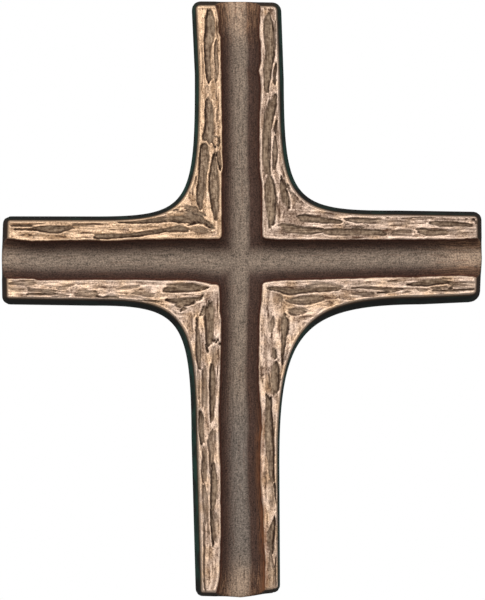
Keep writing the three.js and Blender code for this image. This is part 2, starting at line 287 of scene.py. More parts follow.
LOWER_LEFT_UPRIGHT = (
    (0.95, 10.5, 14.8, 1.4, 10.6, 17, 3.2, 10.9, 20, 3, 10.8, 24, 2.8, 10.8, 27, 2.6, 10.9, 28.6, 1.8),
    (0.7, 13.6, 18.6, 1, 12.2, 17.6, 2.4),
    (0.7, 9.8, 27.9, 0.8, 7, 27.8, 0.7),
    (0.7, 11.9, 28.4, 0.6, 11.5, 31.2, 0.8),
    (-0.4, 8.8, 26.2, 1.7, 8.5, 26.2, 1.7),
    (0.6, 15.2, 19.3, 0.6, 15, 23, 0.9, 14.6, 27, 1.6, 14.5, 31, 2, 14.5, 34.5, 1.6, 14.2, 36.2, 0.7),
    (0.3, 9.1, 30.3, 1.2, 9.3, 34.5, 1.6),
    (0.75, 9.9, 35.8, 1.2, 9.9, 39, 2, 9.9, 44, 2.1, 10, 49, 1.8, 10.2, 53.5, 1.3),
    (0.4, 12.7, 37, 1.4, 12.6, 42, 1.8, 12.6, 46, 2, 12.7, 49.3, 1.6),
    (0.25, 14.7, 38, 0.8, 14.6, 42, 0.9, 14.7, 47, 0.8),
    (0.6, 14, 50.8, 0.9, 13.8, 54, 2, 13.9, 58, 2, 13.5, 61.2, 1.3),
    (0.45, 9.6, 57.6, 1.4, 10.4, 60.5, 2.8, 10.3, 64, 1.8, 10.5, 68, 1.2, 10.6, 72.5, 0.8),
    (0.5, 12.9, 64, 1.2, 12.7, 67, 1.4, 12.9, 71, 1.8, 12.8, 74, 1.4),
    (0.65, 9.8, 68.8, 1.2, 9.7, 72.5, 2, 9.5, 76, 2.2, 9.7, 79.5, 2.2, 10.2, 83.4, 1.3),
    (0.4, 13.1, 75.5, 0.6, 12.5, 79, 1.6, 12.3, 83, 1.6, 12.2, 86, 1.4, 12.6, 88.5, 0.8),
    (0.65, 10.6, 84, 0.8, 10.3, 88, 1, 10, 92.5, 1.2, 9.9, 96.3, 0.6),
    (0.3, 9, 86, 1.4, 8.9, 90, 1.8, 9.1, 94.5, 1.2),
    (0.4, 12.9, 89, 0.6, 12.9, 97, 0.6, 13, 104.5, 0.7, 12.8, 109, 0.6, 12.4, 111.5, 0.5),
    (0.3, 11.8, 88, 0.4, 11.5, 92, 0.5),
)
LOWER_LEFT_CROSSBAR = (
    (0.75, 26, 10.4, 1.4, 24, 9.8, 2.8, 20.5, 9.6, 3, 17, 9.6, 2.7, 14, 9.7, 2, 12, 9.7, 1.2, 11, 9.7, 0.6),
    (0.7, 25.8, 13.7, 0.6, 22, 14, 1.6, 20, 14.6, 3, 17, 14, 2.4, 14.5, 13.3, 1.4, 12.8, 12.2, 0.7),
    (0.7, 20.2, 15, 3.2, 20, 16.5, 1.8, 19.9, 17.4, 0.7),
    (0.3, 41.5, 9.9, 0.6, 38, 9.4, 1.2, 35, 9.1, 0.9),
    (0.35, 36.5, 11.2, 1, 33, 11.7, 1.4, 29.5, 12.2, 1.2),
    (0.45, 37, 13.8, 0.5, 33, 13.9, 0.6, 28, 14.1, 0.5),
    (0.6, 49.5, 10.8, 0.8, 48.6, 12.2, 0.9, 46.5, 12.9, 0.8, 44, 12.7, 1.2, 41, 13.2, 0.9),
    (0.4, 55.8, 11.9, 0.8, 53.5, 11.2, 2.2, 50.5, 11.6, 2.4, 49, 12, 1.6),
    (0.35, 61, 9.8, 0.8, 58.5, 9.2, 1.6, 57, 8.7, 0.8),
    (0.35, 63, 12.5, 0.5, 60, 12.3, 0.7, 58, 12.1, 0.5),
    (0.4, 78.5, 7.9, 0.6, 74, 7.8, 1.2, 71.5, 7.7, 1.9, 69.2, 7.9, 1),
    (0.4, 71.8, 9.4, 0.7, 71, 10.2, 0.9, 68, 10.2, 0.9, 63, 10.7, 1.4),
    (0.45, 72, 11.6, 0.7, 69, 11.4, 0.8, 65, 11.5, 0.7, 62, 11.4, 0.5),
    (0.2, 78, 9.9, 0.8, 73, 10.3, 1),
)
LOWER_LEFT = Panel(
    name="lower_left",
    sign_x=-1,
    sign_z=-1,
    upright=Arm(waist=17.1, tip=15.9, sweep=60, end=113.1, round=2.4, inset=(2.3, 1.9)),
    crossbar=Arm(waist=15.5, tip=14.9, sweep=50, end=80.4, round=2.8, inset=(2.5, 2.3)),
    hold=0.9,
    seed=37,
    dark_side=(-1, -1),
    worn=(0.54, 0.76),
    warm=0.35,
    upright_edge=(
        (8.6, 7.5), (18, 7.3), (21, 6.9), (28, 7), (40, 7.4), (50, 7.8), (64, 7.8), (70, 7.4), (90, 7.4),
        (100, 7.7), (106, 7.9), (109, 8.5), (113, 9.7),
    ),
    crossbar_edge=(
        (7.5, 8.6), (10, 8.5), (12, 8), (15, 7.5), (21, 7), (27, 7.2), (35, 6.9), (68, 6.9), (69.5, 6.4),
        (79, 6.3),
    ),
    upright_marks=LOWER_LEFT_UPRIGHT,
    crossbar_marks=LOWER_LEFT_CROSSBAR,
)
LOWER_RIGHT_UPRIGHT = (
    (0.4, 13.2, 13.4, 1.2, 13, 14.3, 1.5),
    (0.4, 10.2, 20.5, 1.2, 10, 22.3, 2.2, 9.8, 24, 1.4),
    (0.75, 14.3, 19, 1, 14.3, 21, 2.8, 14.4, 23, 2.6, 14, 26, 2, 13.9, 29, 1.3, 13.5, 33, 1, 13.4, 35, 0.6),
    (0.55, 10.9, 30.7, 1.2, 10.9, 33, 1.4),
    (0.6, 11.4, 34.6, 0.6, 11.2, 37, 2.4, 11, 40.5, 3, 11.1, 43.5, 2.4, 10.6, 45, 1.6),
    (0.7, 8.2, 45.6, 0.8, 8.9, 47.5, 2, 8.8, 51, 2.2, 8.9, 55, 2.6, 9, 59, 3, 9.2, 63, 2.8, 9.5, 67, 2.2,
     9.7, 71, 1.8, 10, 74, 1.4),
    (0.6, 10.6, 75.5, 0.8, 10.9, 78, 0.9, 11.3, 81.5, 0.8),
    (0.3, 9.4, 75, 1.8, 9.3, 79, 2.2, 9.3, 82, 1.6),
    (0.65, 10.7, 87, 0.7, 9.9, 89.5, 1.8, 9.4, 92, 2.4, 9.4, 94.8, 2, 9.6, 98, 1.2),
    (0.4, 9.2, 98.5, 0.8, 9.3, 103, 1.8, 9.8, 106, 2, 10.2, 109.5, 1.8),
    (0.5, 10.9, 100, 0.5, 10.7, 104, 0.6, 11, 109.5, 0.6),
    (0.35, 6.8, 38.5, 0.8, 7, 38.7, 0.8),
    (0.35, 8.9, 38.5, 0.5, 9.2, 41.5, 0.6, 9.4, 43.5, 0.5),
)
LOWER_RIGHT_CROSSBAR = (
    (0.8, 9.4, 10, 0.9, 11.5, 10.3, 1.6, 14, 10.9, 2, 16.5, 11.3, 2, 20, 11, 1.6, 24, 10.6, 1.4,
     28, 10.4, 1.6, 32, 10.2, 1.2),
    (0.45, 22, 9.5, 1.4, 25.5, 9.4, 2.6, 29, 9.5, 2.4, 32.5, 9.7, 1.4),
    (0.55, 15.2, 14.2, 1, 18, 14.1, 2.4, 21, 14, 3, 24, 13.7, 2.6, 27, 13.3, 1.2),
    (0.5, 15.6, 17.6, 1.6, 18, 17.8, 2.8, 20.5, 17.4, 1.8),
    (0.45, 36.5, 10, 0.6, 40, 9.8, 0.7, 45, 10, 0.9, 50, 10.7, 1, 54, 10.4, 0.6),
    (0.2, 38, 8.9, 1.4, 43, 9, 1.4),
    (0.4, 37.5, 11.9, 0.7, 40, 12, 1, 44, 11.8, 0.8),
    (0.5, 45.5, 11.6, 0.5, 49, 11.3, 0.8, 52.5, 10.8, 0.6),
    (0.3, 49, 7.9, 0.5, 52.5, 8.1, 0.6),
    (0.65, 55.5, 9, 0.6, 59, 8.7, 1.4, 62, 8.4, 2, 65.5, 8, 1.8, 69.5, 8.3, 0.9, 70.8, 8.9, 0.7),
    (0.5, 70.5, 8.6, 0.7, 70.6, 9.8, 0.8, 69, 10.7, 0.6),
    (0.5, 63.8, 10.3, 1.2, 66.2, 10.3, 0.9),
    (0.4, 67, 10, 0.8, 69, 9.9, 0.9),
    (0.35, 54, 11.7, 0.5, 56.5, 11.2, 0.6),
    (0.35, 59.5, 10.7, 0.9, 62.5, 10.7, 0.9),
    (0.5, 64, 11, 0.6, 70, 10.9, 0.6, 78, 10.5, 0.7),
    (0.25, 72, 9.2, 2, 76, 9, 2.4, 78.8, 9.2, 1.6),
    (0.3, 67, 6.9, 0.7, 69.5, 7.2, 0.5),
)
LOWER_RIGHT = Panel(
    name="lower_right",
    sign_x=1,
    sign_z=-1,
    upright=Arm(waist=12.4, tip=12.4, sweep=70, end=112.0, round=2.4, inset=(0.9, 1.9)),
    crossbar=Arm(waist=15.6, tip=14.8, sweep=60, end=80.0, round=3.7, inset=(3.0, 2.0)),
    hold=0.84,
    seed=53,
    dark_side=(1, -1),
    worn=(0.6, 0.56),
    warm=0.35,
    upright_edge=(
        (8, 6.9), (14, 6.8), (18, 6.1), (24, 5.9), (38, 5.6), (45, 5.8), (50, 6.4), (57, 6.6), (60, 6.1),
        (74, 6), (78, 6.2), (84, 6.9), (95, 7.1), (101, 7.5), (112, 7.3),
    ),
    crossbar_edge=(
        (6.9, 8), (10, 7.7), (14, 7.4), (25, 7.1), (40, 6.8), (50, 6.5), (58, 6.6), (62, 6.3), (74, 6.1),
        (77, 6.4), (80, 7.3),
    ),
    upright_marks=LOWER_RIGHT_UPRIGHT,
    crossbar_marks=LOWER_RIGHT_CROSSBAR,
)
PANELS = (UPPER_LEFT, UPPER_RIGHT, LOWER_LEFT, LOWER_RIGHT)


# Noise and shaping


def smoothstep(low, high, value):
    """0 at low, 1 at high and a smooth rise between, or a fall where low is above high."""
    t = np.clip((value - low) / (high - low), 0, 1)
    return t * t * (3 - 2 * t)


def bell(value, centre, width):
    """1 at the centre, falling away smoothly on both sides."""
    return np.exp(-(((value - centre) / width) ** 2))


def noise(x, y, seed):
    """Smooth noise from -1 to 1 that changes over a length of about 1."""
    table = np.random.default_rng(seed).uniform(-1, 1, NOISE_VALUES)
    x, y = np.broadcast_arrays(x, y)
    left, low = np.floor(x).astype(np.int64), np.floor(y).astype(np.int64)
    fx, fy = x - left, y - low
    fx, fy = fx * fx * (3 - 2 * fx), fy * fy * (3 - 2 * fy)

    def lattice(i, j):
        return table[((i * HASH_X) ^ (j * HASH_Y)) % NOISE_VALUES]

    lower = lattice(left, low) * (1 - fx) + lattice(left + 1, low) * fx
    upper = lattice(left, low + 1) * (1 - fx) + lattice(left + 1, low + 1) * fx
    return lower * (1 - fy) + upper * fy


def rough(x, y, seed, octaves=3):
    """Noise with finer detail added, from about -1 to 1."""
    layers = (noise(x * 2**i, y * 2**i, seed + i) * 0.5**i for i in range(octaves))
    return sum(layers) / 1.5


def rounded_corner(across, along, radius_across, radius_along):
    """Maps distances from the two edges of a square corner onto a round corner.

    Returns the new distances, the direction from the middle of the round to each place and which places lie
    in it."""
    u = np.clip(1 - across / radius_across, 0, 1)
    v = np.clip(1 - along / radius_along, 0, 1)
    inside = (across < radius_across) & (along < radius_along)
    round_u = u * np.sqrt(1 - v * v / 2)
    round_v = v * np.sqrt(1 - u * u / 2)
    across = np.where(inside, radius_across * (1 - round_u), across)
    along = np.where(inside, radius_along * (1 - round_v), along)
    return across, along, round_u, round_v, inside


def wall_share(depth):
    """How much of the inset the side wall has used up at a depth above the back."""
    return np.interp(depth, WALL_DEPTHS, WALL_SHARES)


def channel_drop(across):
    """How far the channel lies under the front for a place across it, 0 in the middle and 1 at its edge."""
    floor = np.clip(1 - np.abs(across) ** CHANNEL_SQUARENESS, 0, 1) ** CHANNEL_STEEPNESS
    return CHANNEL_LIP + (CHANNEL_DEPTH - CHANNEL_LIP) * floor


# The outline


class Outline:
    """The edge of one panel and the cross, from the end of the upright to the end of the crossbar."""

    def __init__(self, panel):
        up, bar = panel.upright, panel.crossbar
        t = np.linspace(0, 1, OUTLINE_STEPS)[:, None]
        start = np.array((up.waist, up.sweep))
        stop = np.array((bar.sweep, bar.waist))
        down = np.array((up.waist, up.sweep + (bar.waist - up.sweep) * panel.hold))
        aside = np.array((bar.sweep + (up.waist - bar.sweep) * panel.hold, bar.waist))
        first = np.array((up.tip, up.end)) * (1 - t) + start * t
        sweep = (1 - t) ** 3 * start + 3 * (1 - t) ** 2 * t * down + 3 * (1 - t) * t**2 * aside + t**3 * stop
        last = stop * (1 - t) + np.array((bar.end, bar.tip)) * t
        points = np.concatenate((first[:-1], sweep[:-1], last))
        along = np.gradient(points, axis=0)
        along /= np.linalg.norm(along, axis=1)[:, None]
        self.normals = np.stack((-along[:, 1], along[:, 0]), axis=1)
        self.slope = self.normals * (up.inset[0], bar.inset[0])
        self.rim = points - self.slope * RIM_SHARE
        self.corner = np.array((panel.crossbar_edge[0][0], panel.upright_edge[0][0]))
        ahead = self.rim - self.corner
        self.diagonal = int(np.argmax(ahead[:, 0] > ahead[:, 1]))

    def find(self, targets, axis):
        """Indices, with fractions, of the rim's points that have these values on an axis."""
        indices = np.arange(len(self.rim), dtype=float)
        part = slice(self.diagonal, None) if axis == 0 else slice(self.diagonal, None, -1)
        return np.interp(targets, self.rim[part, axis], indices[part])

    @staticmethod
    def at(values, index):
        """Values along the outline at indices with fractions."""
        whole = np.arange(len(values))
        return np.stack([np.interp(index, whole, values[:, i]) for i in range(2)], axis=-1)


def arm_rows(arm, edge, axis, reach, outline, seed):
    """The rows across one arm of a panel, from the end to the corner: points by the channel, points on the
    rim, where those lie on the outline and distances from the crossing. axis is the coordinate that runs
    along the arm, 0 for a and 1 for b."""
    corner = outline.corner[axis]
    fraction = np.linspace(0, 1, round(reach / ROW_STEP) + 1)
    inset = arm.inset[1] * RIM_SHARE
    lean = edge[-1][1] / (arm.tip - arm.round)
    inner_end = reach + (arm.end - reach) * lean - inset
    outer_end = arm.end - inset
    inner_along = inner_end + (corner - inner_end) * fraction
    outer_along = outer_end + (corner - outer_end) * fraction
    near = np.clip(1 - (outer_along - corner) / LEAN_LENGTH, 0, 1)
    outer_along = outer_along + (outline.rim[outline.diagonal, axis] - corner) * near**2
    index = outline.find(outer_along, axis)

    from_corner = inner_along - corner
    wave = 0.1 * noise(from_corner / 2.2, 0.5, seed) + 0.09 * noise(from_corner / 0.9, 0.5, seed + 1)
    inner = np.empty((len(fraction), 2))
    inner[:, axis] = inner_along
    inner[:, 1 - axis] = np.interp(inner_along, *np.transpose(edge)) + wave * smoothstep(0, 3, from_corner)
    return inner, outline.at(outline.rim, index), index, inner_along


def line_places():
    """Where the lines along a panel lie, from 0 at the channel to 1 at the rim, closer at both."""
    count = PANEL_LINES - len(INNER_LINES) - len(OUTER_LINES)
    between = np.linspace(INNER_LINES[-1], OUTER_LINES[0], count + 2)
    return np.concatenate((INNER_LINES, between[1:-1], OUTER_LINES))


def mark_place(a, b, points, axis):
    """Where places lie in a mark: how far from its middle and how far aside of it, as shares of the mark's
    half-width there, and that half-width. axis is the coordinate that runs across the mark."""
    share, aside, half = np.full(a.shape, np.inf), np.zeros(a.shape), np.ones(a.shape)
    for (a0, b0, width0), (a1, b1, width1) in zip(points[:-1], points[1:]):
        run_a, run_b = a1 - a0, b1 - b0
        t = np.clip(((a - a0) * run_a + (b - b0) * run_b) / (run_a**2 + run_b**2), 0, 1)
        offset = a - a0 - t * run_a, b - b0 - t * run_b
        width = (width0 + (width1 - width0) * t) / 2
        away = np.hypot(*offset) / width
        nearer = away < share
        share = np.where(nearer, away, share)
        aside = np.where(nearer, offset[axis] / width, aside)
        half = np.where(nearer, width, half)
    return share, aside, half


def tool_marks(panel, a, b):
    """What a panel's marks do at each place: their depth, how full they are, how dark the foot of their
    walls is, what stands proud and how much of a crest they leave beside them."""
    seed = panel.seed
    wave = 0.1 * rough(a / 1.8, b / 1.8, seed) + 0.12 * noise(a / 0.7, b / 0.7, seed + 5)
    broken = 0.5 + 0.5 * noise(a / 2.2, b / 2.2, seed + 6)
    cut, full, foot, proud, crest = (np.zeros(a.shape) for _ in range(5))
    dark = (panel.dark_side[0] * panel.sign_x, panel.dark_side[1] * panel.sign_z)
    for axis, marks in enumerate((panel.upright_marks, panel.crossbar_marks)):
        across, along = (a, b) if axis == 0 else (b, a)
        fingers = 0.9 * noise(across / 0.5, along / 4, seed + 9)
        fingers = fingers + 0.3 * noise(across / 0.35, along / 1.2, seed + 10)
        warped = (a + wave, b + fingers) if axis == 0 else (a + fingers, b + wave)
        for depth, *numbers in marks:
            points = [numbers[i : i + 3] for i in range(0, len(numbers), 3)]
            share, aside, half = mark_place(*warped, points, axis)
            if depth < 0:
                proud = np.maximum(proud, -depth * smoothstep(1.3, 0.3, share))
                continue
            strength = min(depth / FULL_MARK, 1)
            faint = 1 - strength
            side = aside / np.maximum(share, 1) * dark[axis]
            fill = smoothstep(1.2 + 0.3 * faint, 0.84 - 0.4 * faint, share)
            here = depth * fill * (1 + MARK_LEAN * side)
            # The foot of a mark's wall is darkened: partly patina in the hollow and partly painted shade,
            # heavier on the mark's dark side.
            wall = bell(share * half, half - 0.15, 0.42) * (0.25 + 0.9 * broken + 0.7 * side)
            narrow = smoothstep(0.65, 0.35, half)
            wall = np.clip(np.maximum(wall, narrow), 0, 1) * fill * strength
            foot = np.where(here > cut, wall, foot * (1 - fill))
            full = np.maximum(full, fill * strength)
            cut = np.maximum(cut, here)
            gap = (share - 1.1) * half
            crest += smoothstep(0.75, 0.3, gap) * np.maximum(0.3 + 0.6 * broken + 0.5 * side, 0.1) * strength
    return cut, full, foot, proud, np.minimum(crest, 1) * (1 - full)


class PanelGrid:
    """The front of one panel as a grid. Rows run from the end of the upright round to the end of the
    crossbar, and columns from the channel to the rim."""

    def __init__(self, panel):
        up, bar = panel.upright, panel.crossbar
        outline = Outline(panel)
        up_reach = REACH_UP if panel.sign_z > 0 else REACH_DOWN
        bar_reach = REACH_RIGHT if panel.sign_x > 0 else REACH_LEFT
        first = arm_rows(up, panel.upright_edge, 1, up_reach, outline, panel.seed + 100)
        second = arm_rows(bar, panel.crossbar_edge, 0, bar_reach, outline, panel.seed + 200)
        inner, outer, index = (np.concatenate((first[i], second[i][::-1][1:])) for i in range(3))
        along = np.concatenate((-first[3] + outline.corner[1], second[3][::-1][1:] - outline.corner[0]))
        self.panel = panel
        self.corner_row = len(first[0]) - 1
        t = line_places()
        a, b = (inner[:, i, None] * (1 - t) + outer[:, i, None] * t for i in range(2))
        self.along = np.broadcast_to(along[:, None], a.shape)

        span = outer - inner
        width = np.hypot(span[:, 0], span[:, 1])[:, None]
        facing = np.sum(span * outline.at(outline.normals, index), axis=1)[:, None]
        self.from_rim = (1 - t) * np.maximum(facing, 0.3 * width)
        on_upright = (np.arange(len(a)) <= self.corner_row)[:, None]
        self.from_channel = np.where(on_upright, a - inner[:, :1], b - inner[:, 1:])
        self.from_end = np.minimum(outer[0, 1] - b, outer[-1, 0] - a)
        self.lie = smoothstep(-4, 4, self.along)

        self.slope = np.zeros(a.shape + (2,))
        self.slope[:, -1] = outline.at(outline.slope, index)
        self.slope[0, :] = (0, up.inset[1])
        self.slope[-1, :] = (bar.inset[1], 0)
        beside, above, *_ = rounded_corner(
            a - outline.corner[0], b - outline.corner[1], CORNER_ROUNDING, CORNER_ROUNDING
        )
        self.a, self.b = outline.corner[0] + beside, outline.corner[1] + above
        self.round_end(up, 1, 0, outer[0])
        self.round_end(bar, 0, -1, outer[-1])
        self.shape()

    def round_end(self, arm, axis, row, corner):
        """Rounds the outer corner at one end."""
        places = [self.a, self.b]
        radii = [arm.round - arm.inset[i] * RIM_SHARE for i in range(2)]
        side, end, u, v, inside = rounded_corner(
            corner[1 - axis] - places[1 - axis], corner[axis] - places[axis], *radii
        )
        places[1 - axis] = np.where(inside, corner[1 - axis] - side, places[1 - axis])
        places[axis] = np.where(inside, corner[axis] - end, places[axis])
        self.a, self.b = places
        border = np.zeros(self.a.shape, bool)
        border[row, :] = border[:, -1] = True
        turned = inside & border
        self.slope[turned, 1 - axis] = (u * arm.inset[0])[turned]
        self.slope[turned, axis] = (v * arm.inset[1])[turned]

    def skin(self, full):
        """The fine relief of the panel: ribs along the arm, pits and a slow swell."""
        a, b, seed = self.a, self.b, self.panel.seed
        ribs = sum(
            height * noise(self.along / length, self.from_channel / width, seed + number)
            for height, length, width, number in RIBS
        )
        pits = PIT_DEPTH * smoothstep(0.1, 0.6, rough(a / PIT_SIZE, b / PIT_SIZE, seed + 33, 2))
        pits *= 0.3 + 0.7 * smoothstep(-0.25, 0.35, noise(a / 5, b / 5, seed + 34))
        swell = SWELL * rough(a / SWELL_SIZE, b / SWELL_SIZE, seed + 35)
        return ribs * (1 - 0.2 * full) - pits * (1 - 0.8 * full) + swell

    def shape(self):
        """The height of each place above the back, and what its finish depends on."""
        a, b, seed = self.a, self.b, self.panel.seed
        rim, channel, end = self.from_rim, self.from_channel, np.maximum(self.from_end, 0)
        cut, full, foot, proud, crest = tool_marks(self.panel, a, b)
        edge = np.minimum(rim, end)
        inside = smoothstep(0.15, 0.8, np.minimum(edge, channel * 1.3))
        border = smoothstep(0.1, 0.6, edge)
        lines = 0.9 * smoothstep(1.0, 0.4, edge) + 0.85 * smoothstep(0.85, 0.35, channel)
        crest = np.minimum(crest + lines * (1 - full), 1)
        crest *= 0.8 + 0.35 * noise(self.along / 3, channel / 2, seed + 37)
        skin = self.skin(full)
        crease = bell(edge, 1.2, 0.28) * smoothstep(-0.1, 0.4, noise(self.along / 6, 0.5, seed + 38))
        crease *= 1 - full
        relief = skin * inside + CREST * crest + proud - cut * border - CREASE * crease

        drop = (THICKNESS - RIM_DEPTH) * np.clip(1 - edge / RIM_ROUNDING, 0, 1) ** 2
        lip = CHANNEL_LIP * np.clip(1 - channel / LIP_WIDTH, 0, 1) ** 2
        depth = THICKNESS - LEVEL + np.minimum(relief, LEVEL) - np.maximum(drop - LEVEL, 0) - lip
        depth[:, -1] = depth[0, :] = depth[-1, :] = RIM_DEPTH
        self.depth = depth
        patches = 0.18 * rough(a / 3.5, b / 3.5, seed + 36)
        patches = patches + 0.42 * noise(self.along / 5, channel / 0.6, seed + 39)
        worn = np.interp(self.lie, (0, 1), self.panel.worn)
        self.tone = worn + (1.1 - worn) * crest + 1.3 * skin * inside + patches + proud
        self.full = full * border
        # The dark foot of the marks and of the rim's furrow: patina in the hollows plus painted shade.
        self.foot = np.maximum(foot * border, 0.55 * crease)


# The whole surface


class Surface:
    """The vertices and faces of the cross. A vertex has its place, the slope of the side wall under it and
    what its finish depends on."""

    FINISH = (
        "tone", "full", "foot", "fringe", "channel", "floor", "tip", "wall", "lie", "rust", "grey", "warm"
    )
    FIELDS = ("x", "z", "depth", "slope_x", "slope_z") + FINISH

    def __init__(self):
        self.parts = {name: [] for name in self.FIELDS}
        self.count = 0
        self.quads = []
        self.triangles = []

    def add(self, shape, **values):
        """Adds vertices and returns their indices in that shape."""
        for name in self.FIELDS:
            self.parts[name].append(np.broadcast_to(values.get(name, 0.0), shape).ravel())
        start = self.count
        self.count += math.prod(shape)
        return np.arange(start, self.count).reshape(shape)

    def get(self, name, index):
        """The values of one field at some vertices."""
        joined = np.concatenate(self.parts[name])
        self.parts[name] = [joined]
        return joined[index]

    def fill(self, index):
        """Adds the faces of a grid of vertices."""
        corners = (index[:-1, :-1], index[1:, :-1], index[1:, 1:], index[:-1, 1:])
        self.quads.append(np.stack(corners, axis=-1).reshape(-1, 4))


def add_panel(surface, grid):
    """Adds one panel and returns the indices of its vertices."""
    sign_x, sign_z = grid.panel.sign_x, grid.panel.sign_z
    x, z = grid.a * sign_x, grid.b * sign_z
    index = surface.add(
        grid.a.shape,
        x=x,
        z=z,
        depth=grid.depth,
        slope_x=grid.slope[..., 0] * sign_x,
        slope_z=grid.slope[..., 1] * sign_z,
        tone=grid.tone,
        full=grid.full,
        foot=grid.foot,
        tip=smoothstep(66, 82, np.maximum(grid.a, grid.b)),
        lie=grid.lie,
        warm=grid.panel.warm,
        rust=0.8 * smoothstep(1.2, 0.3, grid.from_channel) * rust_along(x, z),
    )
    surface.fill(index)
    return index


def rust_along(x, z):
    """How red the channel's edge is at a place: most on the right of the lower arm."""
    beside = smoothstep(2, 5, x) * smoothstep(16, 12, x)
    return beside * smoothstep(-42, -60, z) * (0.75 + 0.25 * noise(z / 4, 0.5, 73))


# The channel's pale floor against its darker walls: the walls' darkness is part patina and part painted
# shade of the steep sides.
def upright_floor(across):
    """How much of the pale floor shows at a place across the upright's channel, from -1 on the left."""
    return np.where(across < 0, smoothstep(0.78, 0.12, -across), smoothstep(0.44, 0.2, across))


def crossbar_floor(across):
    """How much of the pale floor shows at a place across the crossbar's channel, from -1 at the bottom."""
    return smoothstep(0.75, 0.08, np.abs(across))


def channel_grain(x, z):
    """Slight unevenness of the channel."""
    return 0.05 * rough(x / 7, z / 7, 71) + 0.03 * noise(x / 1.1, z / 1.1, 72)


def add_channel(surface, first, second, reach, upright, pale):
    """Adds one arm's channel between the edges of two panels, both given from the end to the crossing.

    first is the left or lower edge and second the right or upper one. pale is how much paler the end is and
    over what length."""
    across = ACROSS_LINES[1:-1]
    share = (across + 1) / 2
    x, z = (
        surface.get(name, first)[:, None] * (1 - share) + surface.get(name, second)[:, None] * share
        for name in ("x", "z")
    )
    along = z if upright else x
    sign = np.sign(along[0, 0])
    end_slope = max(abs(surface.get(name, first[0])) for name in ("slope_x", "slope_z"))
    from_end = np.abs(along[0] - along)
    depth = THICKNESS - channel_drop(across) - channel_grain(x, z)
    depth = depth - END_DIP * np.clip(1 - from_end / END_DIP_LENGTH, 0, 1) ** 2

    bulge = (reach - end_slope * RIM_SHARE - np.abs(along[0])) * (1 - np.abs(across))
    outward = bulge * smoothstep(END_BULGE_LENGTH, 0, from_end)
    steep = end_slope * (1 - END_STEEPNESS * (1 - across**4))
    ahead = RIM_SHARE * end_slope - wall_share(depth[0]) * steep
    outward = outward + ahead * np.clip(1 - from_end / END_SLANT_LENGTH, 0, 1) ** 2
    along = along + sign * outward
    x, z = (x, along) if upright else (along, z)
    slope = np.zeros(x.shape)
    slope[0] = steep * sign
    index = surface.add(
        x.shape,
        x=x,
        z=z,
        depth=depth,
        slope_x=0 if upright else slope,
        slope_z=slope if upright else 0,
        channel=1,
        # Painted shadow: a dark line along both edges of the channel, under the panels' rims.
        fringe=smoothstep(0.86, 0.985, np.abs(across)),
        floor=upright_floor(across) if upright else crossbar_floor(across),
        tip=pale[0] * smoothstep(reach - pale[1], reach - 2, np.abs(along)),
        lie=0 if upright else 1,
        rust=0.8 * smoothstep(0.62, 0.98, across) * rust_along(x, z),
        grey=smoothstep(-38, -62, z) * smoothstep(-108, -94, z),
    )
    index = np.concatenate((first[:, None], index, second[:, None]), axis=1)
    surface.fill(index)
    return index[-1]


def add_crossing(surface, down, up, left, right):
    """Adds the crossing of the channels between the last rows of their arms."""
    across, above = np.meshgrid(ACROSS_LINES[1:-1], ACROSS_LINES[1:-1])
    share_x, share_z = (across + 1) / 2, (above + 1) / 2

    def between(name):
        lower = surface.get(name, down[0]) * (1 - share_x) + surface.get(name, down[-1]) * share_x
        upper = surface.get(name, up[0]) * (1 - share_x) + surface.get(name, up[-1]) * share_x
        return lower * (1 - share_z) + upper * share_z

    drops = (channel_drop(across) - CHANNEL_LIP, channel_drop(above) - CHANNEL_LIP)
    deepest = (drops[0] ** CROSSING_POWER + drops[1] ** CROSSING_POWER) ** (1 / CROSSING_POWER)
    x, z = between("x"), between("z")
    index = np.empty((len(ACROSS_LINES), len(ACROSS_LINES)), dtype=np.int64)
    index[1:-1, 1:-1] = surface.add(
        x.shape,
        x=x,
        z=z,
        depth=THICKNESS - CHANNEL_LIP - deepest - channel_grain(x, z),
        channel=1,
        floor=np.maximum(upright_floor(across), crossbar_floor(above)),
        lie=0.5,
    )
    index[0], index[-1], index[:, 0], index[:, -1] = down, up, left, right
    surface.fill(index)


def border_loop(quads):
    """The vertices along the border of the faces, in order."""
    edges = np.concatenate([quads[:, (i, (i + 1) % 4)] for i in range(4)])
    ordered = np.sort(edges, axis=1)
    _, where, times = np.unique(ordered, axis=0, return_index=True, return_counts=True)
    neighbours = {}
    for a, b in ordered[where[times == 1]]:
        neighbours.setdefault(a, []).append(b)
        neighbours.setdefault(b, []).append(a)
    start = min(neighbours)
    loop = [start, neighbours[start][0]]
    while loop[-1] != start:
        a, b = neighbours[loop[-1]]
        loop.append(a if a != loop[-2] else b)
    return np.array(loop[:-1])


def add_walls(surface):
    """Adds the side walls under the border of the front and returns the loop at the back."""
    loop = border_loop(np.concatenate(surface.quads))
    x, z, top, slope_x, slope_z = (surface.get(name, loop) for name in surface.FIELDS[:5])
    level = np.array(WALL_LEVELS)[:, None]
    depth = top * level
    out = wall_share(top) - wall_share(depth)
    upwards = np.abs(slope_z) / (np.abs(slope_x) + np.abs(slope_z))
    ahead = np.where(np.abs(z) > np.abs(x), upwards, 1 - upwards)
    brown = ahead * smoothstep(60, 72, np.maximum(np.abs(x), np.abs(z)))
    rings = surface.add(
        depth.shape,
        x=x + out * slope_x,
        z=z + out * slope_z,
        depth=depth,
        wall=smoothstep(1, 0.9, level),
        fringe=smoothstep(0.76, 0.98, level),
        tip=np.where(level > 0, brown, BACK_BROWN),
        lie=np.where(level > 0, surface.get("lie", loop), BACK_LIE),
    )
    rings = np.concatenate((loop[None], rings))
    surface.fill(np.concatenate((rings, rings[:, :1]), axis=1))
    return rings[-1]


